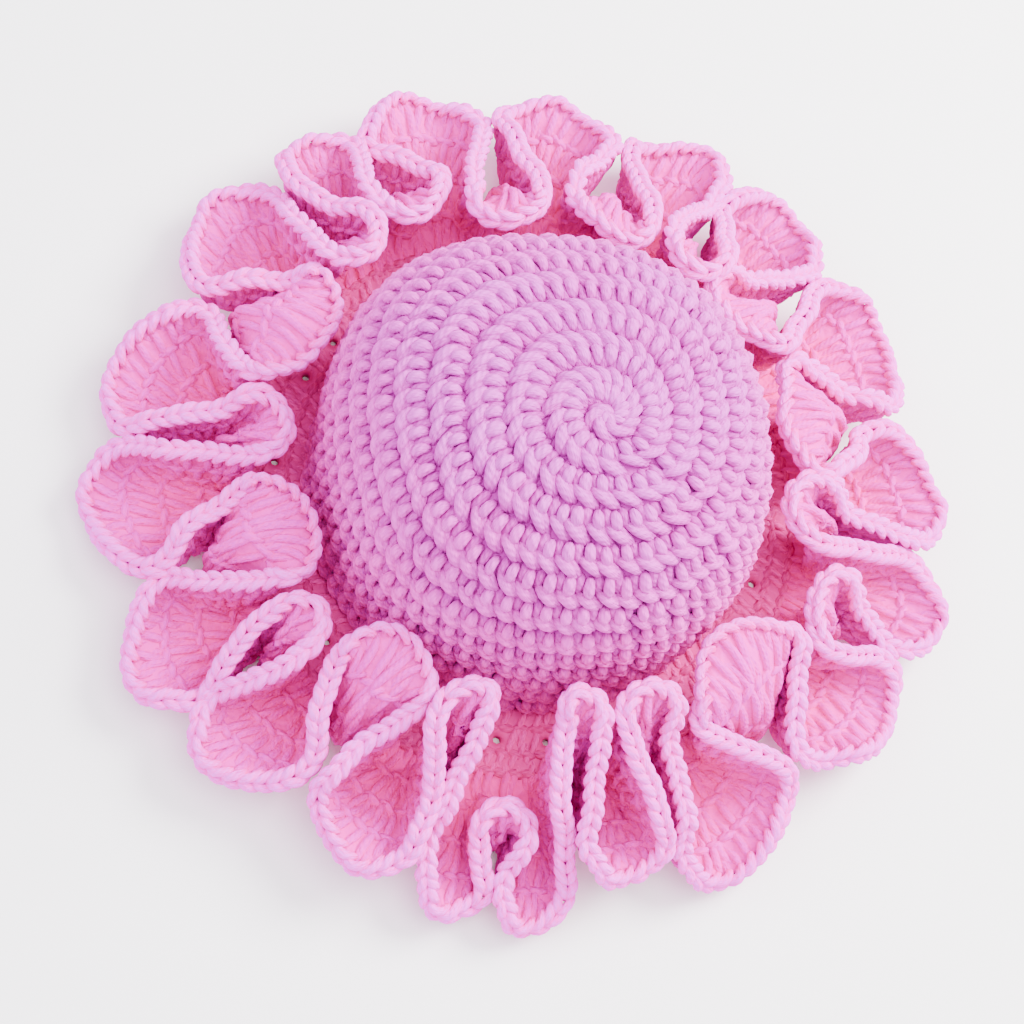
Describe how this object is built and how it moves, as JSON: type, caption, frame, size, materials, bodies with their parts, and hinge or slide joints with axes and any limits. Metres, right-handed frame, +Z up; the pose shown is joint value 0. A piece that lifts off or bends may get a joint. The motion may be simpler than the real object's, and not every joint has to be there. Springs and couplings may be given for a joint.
{
  "type": "crocheted ruffle hat",
  "caption": "Soft crocheted hat: a rounded crown in a flat eyelet brim, with a deep ruffle standing round it in folds and a corded edging along the ruffle's free edge.",
  "frame": {"origin": "on the surface that the hat rests on, under the middle of its bounding box", "axes": "+Z up through the crown, the hat lying brim down; +Y away from the side that the picture shows nearest"},
  "size_m": [0.3618, 0.3648, 0.1255],
  "materials": {
    "crown_yarn": "soft lavender pink yarn worked in rounds of plump stitches",
    "brim_yarn": "deep pink yarn with a round of small eyelets",
    "ruffle_yarn": "pink yarn in tall radial stitches, deeper pink in the folds",
    "edging_yarn": "pale pink yarn in a plaited edge"
  },
  "bodies": {
    "root": {"crown": "crown_yarn", "brim": "brim_yarn", "ruffle": "ruffle_yarn", "ruffle_edging": "edging_yarn"}
  },
  "joints": []
}
